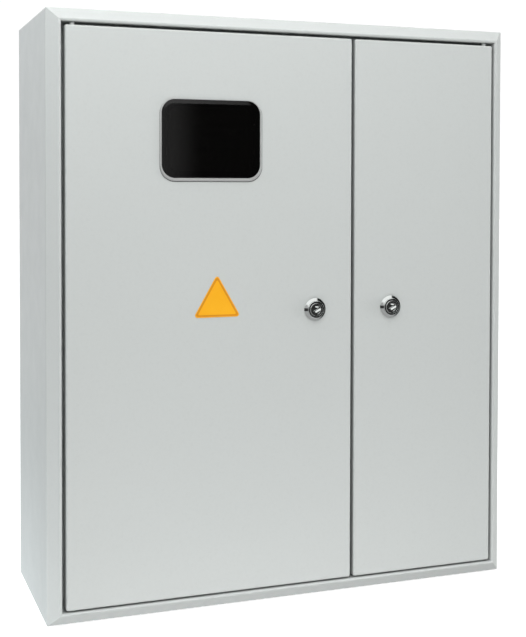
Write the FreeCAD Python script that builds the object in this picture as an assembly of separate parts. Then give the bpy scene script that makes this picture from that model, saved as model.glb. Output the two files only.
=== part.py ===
import FreeCAD, Part
import math
import os
from FreeCAD import Vector

# ---------------------------------------------------------------------------
# Two-door surface-mounted electric meter box in folded sheet steel.
# Frame: X to the right, Y back into the wall, Z up, millimetres.
# Origin: middle of the bounding box, on the underside.
# Depths (d) below are counted from the front plane of the closed doors,
# which lies at Y = Y_FRONT.
# ---------------------------------------------------------------------------

# driving dimensions
BOX_W = 420.0          # outer width
BOX_H = 500.0          # outer height
BOX_D = 150.0          # outer depth, rear flange to front land
LOCK_PROUD = 4.0       # lock bezel in front of the doors
SHEET = 1.2            # steel sheet
Y_FRONT = LOCK_PROUD - (BOX_D + LOCK_PROUD) / 2.0

# bevelled front frame, u = distance inwards from the outer wall
BEVEL_D = 8.3          # depth at which the bevel starts
BEVEL_U = 9.3          # where the bevel meets the front land
FLANGE_U = 11.5        # door side face of the frame flange
LIP_D = 14.0           # front face of the stop lip behind the doors
LIP_U = 21.5           # inner end of the stop lip
REAR_U = 14.0          # rear return flange
SHELL_CORNER_R = 1.6

# doors
DOOR_T = 10.0          # depth of the folded door edges
DOOR_R = 1.7           # bend radius of the door edges
DOOR_CORNER_R = 1.8
DOOR_Z0, DOOR_Z1 = 13.0, 485.8
LEFT_X0, LEFT_X1 = -195.5, 55.7
RIGHT_X0, RIGHT_X1 = 58.7, 196.0
PIVOT_D = 5.0          # hinge axis behind the front plane
PIVOT_IN = 6.5         # hinge axis inwards from the door's outer edge
PIN_R = 1.5
PIN_CLEAR = 0.05       # running clearance of the pins in the frame holes

# middle post between the doors
POST_X = 57.2
POST_HALF = 12.0       # half width of its front face
POST_BRIM = 25.0       # half width over the brims
POST_D = 12.0          # its front face
BRIM_D = 20.8          # front of the brims

# locks
LOCK_Z = 250.7
LOCK_OFF = 36.2        # from the middle gap
BEZEL_R = 10.2
RING_R = 7.4
PLUG_R = 5.8
PLUG_CLEAR = 0.05
BARREL_R = 9.0
BARREL_FLAT = 8.0
BARREL_D = 22.0
CAM_D0, CAM_D1 = 22.5, 25.0
CAM_REACH = 22.0
CAM_W = 15.0
SHANK = 7.0
SEAT_R = 4.2           # seat of the shutter in the plug face
KEY_TILT = 27.0        # key slot above the level, seen from the front

# reading window in the left door
WIN_X, WIN_Z = -73.2, 396.2
WIN_W, WIN_H = 86.2, 65.2
WIN_R = 11.5
CUT_IN = 1.6           # the door's cut-out is this much smaller all round
RIM_L, RIM_RT, RIM_TP, RIM_BT = 1.3, 2.0, 0.6, 2.6      # widths of the pale rim
SLOPE_L, SLOPE_RT, SLOPE_TP, SLOPE_BT = 0.7, 1.0, 0.35, 1.3   # its sloping outer part
RIM_W = WIN_W + RIM_L + RIM_RT
RIM_H = WIN_H + RIM_TP + RIM_BT
RIM_X = WIN_X + (RIM_RT - RIM_L) / 2
RIM_Z = WIN_Z + (RIM_TP - RIM_BT) / 2
RIM_R = 12.8
RIM_T = 1.0            # rim in front of the gasket
FLANGE_W = 0.2         # how far the pane's flange reaches under it
PANE_RISE = 0.65       # height of the bevel round the pane's front
BEVEL_L, BEVEL_RT, BEVEL_TP, BEVEL_BT = 1.6, 0.7, 3.4, 0.7   # its widths
GASKET_T = 0.3

# triangular sticker
STICKER_X, STICKER_Z = -67.9, 247.0
STICKER_SIDE = 41.5
STICKER_H = 36.0
STICKER_R = 2.0
STICKER_T = 0.25

# inside
BACK_D0, BACK_D1 = 147.6, 148.8      # back panel
WALL_HOLE_R = 4.0
WALL_DX, WALL_DZ = 340.0, 420.0
PLATE_X0, PLATE_X1 = -186.0, 34.0    # meter plate
PLATE_Z0, PLATE_Z1 = 40.0, 460.0
PLATE_D0, PLATE_T = 116.0, 1.5
PLATE_FOLD = 9.0
SLOT_X, SLOT_Z = -73.0, 345.0
SLOT_DX, SLOT_DZ = 110.0, 140.0
SLOT_LEN, SLOT_R = 26.0, 2.75
RAIL_X0, RAIL_X1 = 70.0, 196.0
RAIL_Z = 300.0
RAIL_D = 93.0
COVER_X0, COVER_X1 = 62.0, 204.0
COVER_Z0, COVER_Z1 = 215.0, 385.0
COVER_D = 45.0


# ---------------------------------------------------------------------------
# helpers
# ---------------------------------------------------------------------------
def box(x0, x1, d0, d1, z0, z1):
    return Part.makeBox(x1 - x0, d1 - d0, z1 - z0, Vector(x0, d0, z0))


def cyl_y(x, z, r, d0, d1):
    return Part.makeCylinder(r, d1 - d0, Vector(x, d0, z), Vector(0, 1, 0))


def cyl_z(x, d, r, z0, z1):
    return Part.makeCylinder(r, z1 - z0, Vector(x, d, z0), Vector(0, 0, 1))


def fuse(parts):
    out = parts[0]
    if len(parts) > 1:
        out = out.fuse(parts[1:])
    return out.removeSplitter()


def one(shape):
    s = shape.Solids
    if len(s) != 1:
        raise RuntimeError("expected one solid, got %d" % len(s))
    return s[0]


def rounded_path(pts, radii):
    """Open 2-D path as a list of ('L', p, q) and ('A', p, m, q)."""
    segs = []
    cur = pts[0]
    for i in range(1, len(pts)):
        p = pts[i]
        r = radii[i] if i < len(pts) - 1 else 0.0
        if r < 0.02:
            if math.hypot(p[0] - cur[0], p[1] - cur[1]) > 1e-6:
                segs.append(("L", cur, p))
            cur = p
            continue
        a, b = pts[i - 1], pts[i + 1]
        la = math.hypot(p[0] - a[0], p[1] - a[1])
        lb = math.hypot(b[0] - p[0], b[1] - p[1])
        ua = ((p[0] - a[0]) / la, (p[1] - a[1]) / la)
        ub = ((b[0] - p[0]) / lb, (b[1] - p[1]) / lb)
        turn = math.atan2(ua[0] * ub[1] - ua[1] * ub[0], ua[0] * ub[0] + ua[1] * ub[1])
        t = r * math.tan(abs(turn) / 2.0)
        s = (p[0] - ua[0] * t, p[1] - ua[1] * t)
        e = (p[0] + ub[0] * t, p[1] + ub[1] * t)
        bis = (ub[0] - ua[0], ub[1] - ua[1])
        lbis = math.hypot(*bis)
        dist = r / math.cos(abs(turn) / 2.0) - r
        m = (p[0] + bis[0] / lbis * dist, p[1] + bis[1] / lbis * dist)
        if math.hypot(s[0] - cur[0], s[1] - cur[1]) > 1e-6:
            segs.append(("L", cur, s))
        segs.append(("A", s, m, e))
        cur = e
    return segs


def offset_path(pts, radii, t):
    """Path moved by t to its left, with matching bend radii."""
    n = len(pts)
    dirs = []
    for i in range(n - 1):
        l = math.hypot(pts[i + 1][0] - pts[i][0], pts[i + 1][1] - pts[i][1])
        dirs.append(((pts[i + 1][0] - pts[i][0]) / l, (pts[i + 1][1] - pts[i][1]) / l))
    out, rr = [], []
    for i in range(n):
        if i == 0 or i == n - 1:
            d = dirs[0] if i == 0 else dirs[-1]
            out.append((pts[i][0] - d[1] * t, pts[i][1] + d[0] * t))
            rr.append(0.0)
            continue
        d0, d1 = dirs[i - 1], dirs[i]
        n0, n1 = (-d0[1], d0[0]), (-d1[1], d1[0])
        k = t / (1.0 + n0[0] * n1[0] + n0[1] * n1[1])
        out.append((pts[i][0] + (n0[0] + n1[0]) * k, pts[i][1] + (n0[1] + n1[1]) * k))
        left = d0[0] * d1[1] - d0[1] * d1[0] > 0
        rr.append(max(radii[i] - t, 0.0) if left else radii[i] + t)
    return out, rr


def folded_face(pts, radii, t, to3d):
    """Closed face of a folded sheet: path pts, sheet on its left side."""
    outer = rounded_path(pts, radii)
    ip, ir = offset_path(pts, radii, t)
    inner = rounded_path(ip, ir)
    edges = []

    def add(seg):
        if seg[0] == "L":
            edges.append(Part.LineSegment(to3d(*seg[1]), to3d(*seg[2])).toShape())
        else:
            edges.append(Part.Arc(to3d(*seg[1]), to3d(*seg[2]), to3d(*seg[3])).toShape())

    for s in outer:
        add(s)
    add(("L", outer[-1][-1], inner[-1][-1]))
    for s in reversed(inner):
        add(("L", s[2], s[1]) if s[0] == "L" else ("A", s[3], s[2], s[1]))
    add(("L", inner[0][1], outer[0][1]))
    return Part.Face(Part.Wire(edges))


def rounded_rect_y(x, z, w, h, r, d0, d1):
    """Plate with rounded corners, its thickness along Y."""
    s = box(x - w / 2, x + w / 2, d0, d1, z - h / 2, z + h / 2)
    es = [e for e in s.Edges if abs(e.tangentAt(e.FirstParameter).y) > 0.9]
    return s.makeFillet(r, es)


def slot_y(x, z, length, r, d0, d1, upright=False):
    """Round-ended slot cutter along X (or Z when upright)."""
    h = length / 2 - r
    if upright:
        return fuse([cyl_y(x, z - h, r, d0, d1), cyl_y(x, z + h, r, d0, d1),
                     box(x - r, x + r, d0, d1, z - h, z + h)])
    return fuse([cyl_y(x - h, z, r, d0, d1), cyl_y(x + h, z, r, d0, d1),
                 box(x - h, x + h, d0, d1, z - r, z + r)])


def hex_y(x, z, af, d0, d1, turn=0.0):
    r = af / math.sqrt(3.0)
    pts = [Vector(x + r * math.cos(math.radians(60 * i + turn)), d0,
                  z + r * math.sin(math.radians(60 * i + turn))) for i in range(7)]
    pts[6] = pts[0]
    body = Part.Face(Part.makePolygon(pts)).extrude(Vector(0, d1 - d0, 0))
    # both faces of a nut are chamfered to a circle
    cone = Part.makeCylinder(r * 1.001, d1 - d0, Vector(x, d0, z), Vector(0, 1, 0))
    rims = [e for e in cone.Edges if e.Curve.TypeId == "Part::GeomCircle"]
    cone = cone.makeChamfer(r * 0.075, rims)
    return body.common(cone)


def pan_screw(x, z, d_face, shank_r, length, head_r, head_h, cross=True):
    """Pan-head screw driven along +Y, head in front of d_face."""
    head = cyl_y(x, z, head_r, d_face - head_h, d_face)
    top = [e for e in head.Edges if e.Curve.TypeId == "Part::GeomCircle"
           and abs(e.Curve.Center.y - (d_face - head_h)) < 1e-6]
    head = head.makeFillet(head_h * 0.55, top)
    if cross:
        w, l = head_r * 0.26, head_r * 1.1
        for a, b in ((w, l), (l, w)):
            head = head.cut(box(x - a / 2, x + a / 2, d_face - head_h - 1, d_face - head_h * 0.45,
                                z - b / 2, z + b / 2))
    shank = cyl_y(x, z, shank_r, d_face, d_face + length)
    return fuse([head, shank])


nodes = {}


def put(name, shapes):
    if not isinstance(shapes, (list, tuple)):
        shapes = [shapes]
    solids = []
    for s in shapes:
        got = s.Solids
        if not got:
            raise RuntimeError(name + ": empty")
        solids.extend(got)
    for s in solids:
        if not s.isValid():
            raise RuntimeError(name + ": invalid solid")
    nodes[name] = solids


# ---------------------------------------------------------------------------
# cabinet shell: one folded section carried round the four sides and mitred
# ---------------------------------------------------------------------------
PROFILE = [(REAR_U, BOX_D), (0.0, BOX_D), (0.0, BEVEL_D), (BEVEL_U, 0.0),
           (FLANGE_U, 0.0), (FLANGE_U, LIP_D), (LIP_U, LIP_D)]
BENDS = [0.0, 1.8, 2.2, 1.0, 1.6, 0.8, 0.0]


def side_piece(side):
    half, h = BOX_W / 2, BOX_H
    if side == "left":
        f = folded_face(PROFILE, BENDS, SHEET, lambda u, d: Vector(-half + u, d, 0))
        s = f.extrude(Vector(0, 0, h))
        keep = [(-half, 0), (-half + 40, 40), (-half + 40, h - 40), (-half, h)]
    elif side == "right":
        f = folded_face(PROFILE, BENDS, SHEET, lambda u, d: Vector(half - u, d, 0))
        s = f.extrude(Vector(0, 0, h))
        keep = [(half, 0), (half - 40, 40), (half - 40, h - 40), (half, h)]
    elif side == "bottom":
        f = folded_face(PROFILE, BENDS, SHEET, lambda u, d: Vector(-half, d, u))
        s = f.extrude(Vector(BOX_W, 0, 0))
        keep = [(-half, 0), (-half + 40, 40), (half - 40, 40), (half, 0)]
    else:
        f = folded_face(PROFILE, BENDS, SHEET, lambda u, d: Vector(-half, d, h - u))
        s = f.extrude(Vector(BOX_W, 0, 0))
        keep = [(-half, h), (-half + 40, h - 40), (half - 40, h - 40), (half, h)]
    pts = [Vector(x, -1, z) for x, z in keep]
    pts.append(pts[0])
    wedge = Part.Face(Part.makePolygon(pts)).extrude(Vector(0, BOX_D + 2, 0))
    return s.common(wedge)


shell = fuse([side_piece(s) for s in ("left", "bottom", "right", "top")])
shell = shell.common(rounded_rect_y(0, BOX_H / 2, BOX_W, BOX_H, SHELL_CORNER_R, -1, BOX_D + 1))

# half-sheared knockouts for cable glands in the top and bottom walls
KNOCK = [(-150.0, 100.0, 14.25), (-95.0, 100.0, 11.25), (-40.0, 100.0, 14.25),
         (100.0, 100.0, 11.25), (160.0, 100.0, 11.25)]
for kx, kd, kr in KNOCK:
    for base, sgn in ((0.0, 1.0), (BOX_H, -1.0)):
        axis = Vector(0, 0, sgn)
        shell = shell.cut(Part.makeCylinder(kr, 0.5 + 1.0, Vector(kx, kd, base - sgn * 1.0), axis))
        shell = shell.fuse(Part.makeCylinder(kr - 0.25, 0.8, Vector(kx, kd, base + sgn * 0.9), axis))

# holes for the hinge pins in the upper and lower frame flanges
HINGE_X = (LEFT_X0 + PIVOT_IN, RIGHT_X1 - PIVOT_IN)
for hx in HINGE_X:
    for z0, z1 in ((FLANGE_U - SHEET - 0.5, FLANGE_U + 0.5),
                   (BOX_H - FLANGE_U - 0.5, BOX_H - FLANGE_U + SHEET + 0.5)):
        shell = shell.cut(cyl_z(hx, PIVOT_D, PIN_R + PIN_CLEAR, z0, z1))
put("body_shell", one(shell.removeSplitter()))

# back sheet, spot welded inside the rear flange, with four wall screw holes
back = box(-BOX_W / 2 + 2.0, BOX_W / 2 - 2.0, BACK_D0, BACK_D1, 2.0, BOX_H - 2.0)
for sx in (-1, 1):
    for sz in (-1, 1):
        back = back.cut(cyl_y(sx * WALL_DX / 2, BOX_H / 2 + sz * WALL_DZ / 2, WALL_HOLE_R,
                              BACK_D0 - 1, BACK_D1 + 1))
put("back_panel", one(back))

# ---------------------------------------------------------------------------
# centre post: hat section, notched over the stop lips, brims behind for the cams
# ---------------------------------------------------------------------------
px = POST_X
pf = folded_face([(px - POST_BRIM, BRIM_D), (px - POST_HALF, BRIM_D), (px - POST_HALF, POST_D),
                  (px + POST_HALF, POST_D), (px + POST_HALF, BRIM_D), (px + POST_BRIM, BRIM_D)],
                 [0, 0.5, 1.7, 1.7, 0.5, 0], SHEET, lambda a, d: Vector(a, d, 1.3))
post = pf.extrude(Vector(0, 0, BOX_H - 2.6))
for z0, z1 in ((0.0, FLANGE_U + 1.0), (BOX_H - FLANGE_U - 1.0, BOX_H)):
    post = post.cut(box(px - 40, px + 40, 0, LIP_D, z0, z1))
for z0, z1 in ((0.0, LIP_U + 0.1), (BOX_H - LIP_U - 0.1, BOX_H)):
    post = post.cut(box(px - 40, px + 40, LIP_D - 0.1, LIP_D + SHEET + 0.1, z0, z1))
put("centre_post", one(post))

# divider between the two spaces, flanged to the back, with a cable opening
PASS_D, PASS_Z, PASS_W, PASS_H = 92.0, 100.0, 50.0, 70.0
df = folded_face([(px - 0.6, 24.0), (px - 0.6, BACK_D0), (px - 16.0, BACK_D0)],
                 [0, 1.8, 0], SHEET, lambda a, d: Vector(a, d, 1.3))
divider = df.extrude(Vector(0, 0, BOX_H - 2.6))


def pass_cut(grow, x0, x1, r):
    s = Part.makeBox(x1 - x0, PASS_W + 2 * grow, PASS_H + 2 * grow,
                     Vector(x0, PASS_D - PASS_W / 2 - grow, PASS_Z - PASS_H / 2 - grow))
    es = [e for e in s.Edges if abs(e.tangentAt(e.FirstParameter).x) > 0.9]
    return s.makeFillet(r, es)


divider = divider.cut(pass_cut(0, px - 5, px + 5, 8.0))
put("divider_plate", one(divider))
DIV_X0, DIV_X1 = px - 0.6 - SHEET, px - 0.6

# rubber channel pushed on the edge of the opening
trim = pass_cut(2.0, DIV_X0 - 1.6, DIV_X1 + 1.6, 10.0)
trim = trim.cut(pass_cut(-1.8, DIV_X0 - 3, DIV_X1 + 3, 6.2))
trim = trim.cut(pass_cut(2.6, DIV_X0, DIV_X1, 10.6).cut(pass_cut(0.0, DIV_X0 - 1, DIV_X1 + 1, 8.0)))
put("cable_pass_trim", one(trim))

# ---------------------------------------------------------------------------
# meter plate on four spacers
# ---------------------------------------------------------------------------
mf = folded_face([(PLATE_X0, PLATE_D0 + PLATE_FOLD), (PLATE_X0, PLATE_D0), (PLATE_X1, PLATE_D0),
                  (PLATE_X1, PLATE_D0 + PLATE_FOLD)], [0, 2.4, 2.4, 0], PLATE_T,
                 lambda a, d: Vector(a, d, PLATE_Z0))
plate = mf.extrude(Vector(0, 0, PLATE_Z1 - PLATE_Z0))
SP_X = (PLATE_X0 + 16.0, PLATE_X1 - 16.0)
SP_Z = (PLATE_Z0 + 16.0, PLATE_Z1 - 16.0)
for sx in SP_X:
    for sz in SP_Z:
        plate = plate.cut(cyl_y(sx, sz, 2.25, PLATE_D0 - 1, PLATE_D0 + 3))
for sx in (-1, 1):
    for sz in (-1, 1):
        plate = plate.cut(slot_y(SLOT_X + sx * SLOT_DX / 2, SLOT_Z + sz * SLOT_DZ / 2,
                                 SLOT_LEN, SLOT_R, PLATE_D0 - 1, PLATE_D0 + 3))
put("meter_plate", one(plate))
spacers, screws = [], []
for sx in SP_X:
    for sz in SP_Z:
        s = hex_y(sx, sz, 8.0, PLATE_D0 + PLATE_T, BACK_D0)
        spacers.append(s.cut(cyl_y(sx, sz, 2.05, PLATE_D0, PLATE_D0 + 14)))
        screws.append(pan_screw(sx, sz, PLATE_D0, 2.0, 10.0, 4.0, 2.6))
put("meter_plate_spacers", spacers)
put("meter_plate_screws", screws)

# ---------------------------------------------------------------------------
# breaker side: top-hat rail, brackets, inner cover with its slot
# ---------------------------------------------------------------------------
# rail section in the depth-height plane: 35 wide, 7.5 deep, 1.0 sheet
rail_pts = [(RAIL_D, RAIL_Z - 17.5), (RAIL_D, RAIL_Z - 12.5), (RAIL_D + 6.5, RAIL_Z - 12.5),
            (RAIL_D + 6.5, RAIL_Z + 12.5), (RAIL_D, RAIL_Z + 12.5), (RAIL_D, RAIL_Z + 17.5)]
rf = folded_face(rail_pts[::-1], [0, 0.6, 0.6, 0.6, 0.6, 0], 1.0,
                 lambda d, z: Vector(RAIL_X0, d, z))
rail = rf.extrude(Vector(RAIL_X1 - RAIL_X0, 0, 0))
RAIL_BACK = rail.BoundBox.YMax
RAIL_HOLES = (RAIL_X0 + 14.0, RAIL_X1 - 14.0)
for rx in RAIL_HOLES:
    rail = rail.cut(slot_y(rx, RAIL_Z, 15.0, 2.6, RAIL_D + 4, RAIL_D + 12))
for k in range(3):
    rail = rail.cut(slot_y(RAIL_X0 + 39 + 24 * k, RAIL_Z, 18.0, 3.1, RAIL_D + 4, RAIL_D + 12))
put("din_rail", one(rail))
brackets, rscrews = [], []
for rx in RAIL_HOLES:
    foot = 1.5
    b = fuse([box(rx - 8, rx + 8, RAIL_BACK, RAIL_BACK + foot, RAIL_Z - 15, RAIL_Z + 15),
              box(rx - 8, rx + 8, RAIL_BACK, BACK_D0, RAIL_Z - 15, RAIL_Z - 15 + foot),
              box(rx - 8, rx + 8, RAIL_BACK, BACK_D0, RAIL_Z + 15 - foot, RAIL_Z + 15),
              box(rx - 8, rx + 8, BACK_D0 - foot, BACK_D0, RAIL_Z - 27, RAIL_Z - 15 + foot),
              box(rx - 8, rx + 8, BACK_D0 - foot, BACK_D0, RAIL_Z + 15 - foot, RAIL_Z + 27)])
    es = []
    for e in b.Edges:
        if e.Curve.TypeId != "Part::GeomLine" or abs(e.Length - 16.0) > 0.1:
            continue
        c = e.CenterOfMass
        if abs(c.y - RAIL_BACK) < 1e-6 and abs(abs(c.z - RAIL_Z) - 15) < 1e-6:
            es.append(e)
    b = b.makeFillet(1.8, es)
    b = b.cut(cyl_y(rx, RAIL_Z, 2.1, RAIL_BACK - 1, RAIL_BACK + foot + 1))
    brackets.append(b)
    rscrews.append(pan_screw(rx, RAIL_Z, RAIL_BACK - 1.0, 2.05, 8.0, 4.2, 2.6))
put("din_rail_brackets", brackets)
put("din_rail_screws", rscrews)

# inner cover: plate folded back at top and bottom, with the breaker slot
cf = folded_face([(COVER_Z0, COVER_D + 12), (COVER_Z0, COVER_D), (COVER_Z1, COVER_D),
                  (COVER_Z1, COVER_D + 12)], [0, 2.0, 2.0, 0], SHEET,
                 lambda z, d: Vector(COVER_X0, d, z))
cover = cf.extrude(Vector(COVER_X1 - COVER_X0, 0, 0))
cxm = (COVER_X0 + COVER_X1) / 2
SLOT_BW, SLOT_BH = 108.0, 46.0
cover = cover.cut(rounded_rect_y(cxm, RAIL_Z, SLOT_BW, SLOT_BH, 1.5, COVER_D - 1, COVER_D + 3))
CV_X = (COVER_X0 + 8.0, COVER_X1 - 8.0)
CV_Z = (COVER_Z0 + 14.0, COVER_Z1 - 14.0)
for sx in CV_X:
    for sz in CV_Z:
        cover = cover.cut(cyl_y(sx, sz, 2.25, COVER_D - 1, COVER_D + 3))
put("breaker_cover", one(cover))

# two upright angle brackets carry the cover, on the divider and on the right wall
CB_D = COVER_D + SHEET
WALL_IN = BOX_W / 2 - SHEET
CB_Z0, CB_Z1 = COVER_Z0 + 4.0, COVER_Z1 - 4.0
left_b = folded_face([(DIV_X1, CB_D + 24.0), (DIV_X1, CB_D), (COVER_X0 + 15.0, CB_D)],
                     [0, 2.0, 0], 1.5, lambda a, d: Vector(a, d, CB_Z0))
right_b = folded_face([(COVER_X1 - 15.0, CB_D), (WALL_IN, CB_D), (WALL_IN, CB_D + 24.0)],
                      [0, 2.0, 0], 1.5, lambda a, d: Vector(a, d, CB_Z0))
brs = []
for f, hx in ((left_b, CV_X[0]), (right_b, CV_X[1])):
    b = f.extrude(Vector(0, 0, CB_Z1 - CB_Z0))
    for sz in CV_Z:
        b = b.cut(cyl_y(hx, sz, 2.05, CB_D - 1, CB_D + 3))
    brs.append(one(b))
put("breaker_cover_brackets", brs)
put("breaker_cover_screws", [pan_screw(sx, sz, COVER_D, 2.0, 8.0, 4.0, 2.6)
                             for sx in CV_X for sz in CV_Z])

# ---------------------------------------------------------------------------
# neutral and earth bars on insulating feet, screwed to the back sheet
# ---------------------------------------------------------------------------
BAR_X0, BAR_X1 = 84.0, 182.0
for name, bz in (("neutral_bar", 150.0), ("earth_bar", 90.0)):
    bd = BACK_D0 - 26.0
    bar = box(BAR_X0, BAR_X1, bd, bd + 8.0, bz - 5.0, bz + 5.0)
    bar = bar.makeChamfer(0.5, [e for e in bar.Edges if abs(e.tangentAt(e.FirstParameter).x) > 0.9])
    bscrews = []
    for k in range(7):
        tx = BAR_X0 + 13.0 + k * 12.0
        bar = bar.cut(cyl_z(tx, bd + 4.6, 2.3, bz - 6, bz + 6))       # wire holes, upright
        bar = bar.cut(cyl_y(tx, bz, 1.75, bd - 1, bd + 4.0))          # clamp screws from the front
        sc = cyl_y(tx, bz, 2.9, bd - 2.6, bd)
        sc = sc.makeChamfer(0.35, [e for e in sc.Edges if e.Curve.TypeId == "Part::GeomCircle"
                                   and abs(e.Curve.Center.y - (bd - 2.6)) < 1e-6])
        sc = sc.cut(box(tx - 0.45, tx + 0.45, bd - 3, bd - 1.4, bz - 4, bz + 4))
        sc = sc.fuse(cyl_y(tx, bz, 1.7, bd, bd + 2.6))
        bscrews.append(sc)
    feet = []
    for fx in (BAR_X0 + 4.0, BAR_X1 - 4.0):
        foot = box(fx - 6, fx + 6, bd + 8.0, BACK_D0, bz - 9, bz + 9)
        foot = foot.makeFillet(1.5, [e for e in foot.Edges if abs(e.tangentAt(e.FirstParameter).y) > 0.9])
        cheek = [box(fx - 6, fx + 6, bd + 1.5, bd + 8.5, bz + s * 5.0 if s > 0 else bz - 9.0,
                     bz + 9.0 if s > 0 else bz - 5.0) for s in (-1, 1)]
        feet.append(fuse([foot] + cheek))
    put(name, one(bar))
    put(name + "_screws", bscrews)
    put(name + "_holder", feet)

# welded earth stud low on the back sheet, washer and two nuts
ES_X, ES_Z = 84.0, 38.0
stud = cyl_y(ES_X, ES_Z, 3.0, BACK_D0 - 22.0, BACK_D0)
stud = stud.makeChamfer(0.6, [e for e in stud.Edges if e.Curve.TypeId == "Part::GeomCircle"
                              and abs(e.Curve.Center.y - (BACK_D0 - 22.0)) < 1e-6])
put("earth_stud", stud)


def nut_y(x, z, af, r_hole, d0, d1, turn=0.0):
    return hex_y(x, z, af, d0, d1, turn).cut(cyl_y(x, z, r_hole, d0 - 1, d1 + 1))


washer = cyl_y(ES_X, ES_Z, 6.0, BACK_D0 - 6.3, BACK_D0 - 5.1).cut(cyl_y(ES_X, ES_Z, 3.2, 0, BACK_D0))
put("earth_stud_nuts", [nut_y(ES_X, ES_Z, 10.0, 3.02, BACK_D0 - 5.0, BACK_D0 - 0.1),
                        washer, nut_y(ES_X, ES_Z, 10.0, 3.02, BACK_D0 - 11.4, BACK_D0 - 6.4, 20.0)])


# ---------------------------------------------------------------------------
# doors: pans with folded edges
# ---------------------------------------------------------------------------
def door_pan(x0, x1):
    s = box(x0, x1, 0, DOOR_T, DOOR_Z0, DOOR_Z1)
    s = s.makeFillet(DOOR_CORNER_R, [e for e in s.Edges if abs(e.tangentAt(e.FirstParameter).y) > 0.9])
    s = s.makeFillet(DOOR_R, [e for e in s.Edges if abs(e.CenterOfMass.y) < 1e-6
                              and abs(e.BoundBox.YMax) < 1e-6])
    n = box(x0 + SHEET, x1 - SHEET, SHEET, DOOR_T + 5, DOOR_Z0 + SHEET, DOOR_Z1 - SHEET)
    n = n.makeFillet(DOOR_CORNER_R - SHEET,
                     [e for e in n.Edges if abs(e.tangentAt(e.FirstParameter).y) > 0.9])
    n = n.makeFillet(DOOR_R - SHEET, [e for e in n.Edges if abs(e.CenterOfMass.y - SHEET) < 1e-6
                                      and abs(e.BoundBox.YMax - SHEET) < 1e-6])
    return s.cut(n)


def barrel_section(x, r, flat, d0, d1):
    """Round barrel with two upright flats."""
    c = cyl_y(x, LOCK_Z, r, d0, d1)
    return c.common(box(x - flat, x + flat, d0 - 1, d1 + 1, LOCK_Z - 20, LOCK_Z + 20))


def hinge_pin(x, top):
    """Shouldered pin, its head inside the door, its end in the frame flange."""
    if top:
        z = DOOR_Z1
        gap = (BOX_H - FLANGE_U) - DOOR_Z1
        parts = [cyl_z(x, PIVOT_D, 2.6, z - SHEET - 1.6, z - SHEET),
                 cyl_z(x, PIVOT_D, PIN_R, z - SHEET, z + gap + 2.8),
                 cyl_z(x, PIVOT_D, 2.1, z, z + gap - 0.3)]
        end = z + gap + 2.8
    else:
        z = DOOR_Z0
        gap = DOOR_Z0 - FLANGE_U
        parts = [cyl_z(x, PIVOT_D, 2.6, z + SHEET, z + SHEET + 1.6),
                 cyl_z(x, PIVOT_D, PIN_R, z - gap - 2.8, z + SHEET),
                 cyl_z(x, PIVOT_D, 2.1, z - gap + 0.3, z)]
        end = z - gap - 2.8
    p = fuse(parts)
    rim = [e for e in p.Edges if e.Curve.TypeId == "Part::GeomCircle"
           and abs(e.Curve.Center.z - end) < 1e-6]
    return p.makeChamfer(0.5, rim)


def make_door(tag, x0, x1, hinge_x, lock_x):
    d = door_pan(x0, x1)
    d = d.cut(barrel_section(lock_x, BARREL_R + 0.08, BARREL_FLAT + 0.08, -1, SHEET + 1))
    d = d.cut(cyl_z(hinge_x, PIVOT_D, PIN_R + 0.02, DOOR_Z0 - 1, DOOR_Z0 + SHEET + 0.5))
    d = d.cut(cyl_z(hinge_x, PIVOT_D, PIN_R + 0.02, DOOR_Z1 - SHEET - 0.5, DOOR_Z1 + 1))
    put(tag + "_hinge_pins", [hinge_pin(hinge_x, True), hinge_pin(hinge_x, False)])
    return d


LOCKS = {"left": POST_X - LOCK_OFF, "right": POST_X + LOCK_OFF}
left = make_door("left", LEFT_X0, LEFT_X1, HINGE_X[0], LOCKS["left"])
left = left.cut(rounded_rect_y(WIN_X, WIN_Z, WIN_W - 2 * CUT_IN, WIN_H - 2 * CUT_IN, WIN_R - CUT_IN,
                               -1, SHEET + 1))
put("left_door_panel", one(left))
right = make_door("right", RIGHT_X0, RIGHT_X1, HINGE_X[1], LOCKS["right"])
put("right_door_panel", one(right))

# reading window: dark moulded pane with a flange over the cut-out, a pale rim
# glued on the flange, a thin gasket under both, and a frame behind the sheet
# that the pane's four hooks snap into


def rounded_wire_y(x, z, w, h, r, d):
    """Closed wire of a rounded rectangle at depth d."""
    k = r * (1.0 - math.sqrt(0.5))
    x0, x1, z0, z1 = x - w / 2, x + w / 2, z - h / 2, z + h / 2
    v = lambda a, b: Vector(a, d, b)
    arc = lambda a, m, b: Part.Arc(v(*a), v(*m), v(*b)).toShape()
    line = lambda a, b: Part.LineSegment(v(*a), v(*b)).toShape()
    return Part.Wire([
        line((x0 + r, z0), (x1 - r, z0)), arc((x1 - r, z0), (x1 - k, z0 + k), (x1, z0 + r)),
        line((x1, z0 + r), (x1, z1 - r)), arc((x1, z1 - r), (x1 - k, z1 - k), (x1 - r, z1)),
        line((x1 - r, z1), (x0 + r, z1)), arc((x0 + r, z1), (x0 + k, z1 - k), (x0, z1 - r)),
        line((x0, z1 - r), (x0, z0 + r)), arc((x0, z0 + r), (x0 + k, z0 + k), (x0 + r, z0))])


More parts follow.
